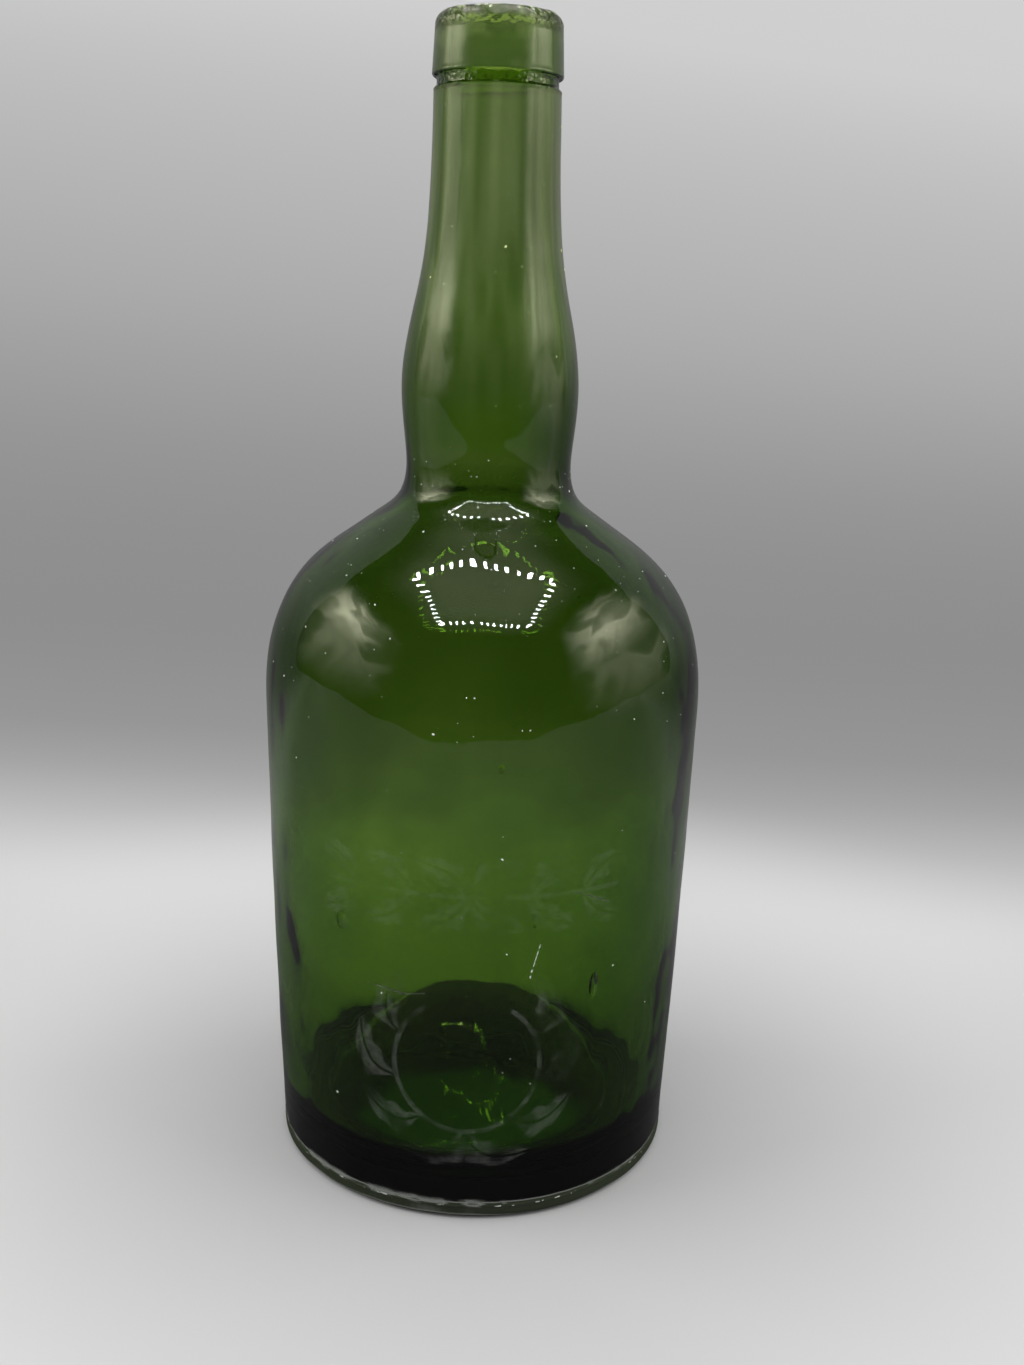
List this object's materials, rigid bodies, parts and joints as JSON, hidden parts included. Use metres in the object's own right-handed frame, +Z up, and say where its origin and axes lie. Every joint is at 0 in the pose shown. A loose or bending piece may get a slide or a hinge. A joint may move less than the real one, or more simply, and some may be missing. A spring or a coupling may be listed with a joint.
{
  "type": "liqueur bottle",
  "caption": "Empty dark green glass liqueur bottle, flared body with a round shoulder, swollen neck, straight collar lip and pushed-up base.",
  "frame": {"origin": "centre of the ring that the bottle stands on", "axes": "+Z up along the bottle's axis, towards the mouth; the shown front faces -Y"},
  "size_m": [0.0984, 0.0984, 0.25],
  "materials": {
    "green_glass": "old mould-blown glass, glossy, slightly wavy, with small bubbles, scuffs and a worn heel"
  },
  "bodies": {
    "root": {"bottle": "green_glass"}
  },
  "joints": []
}
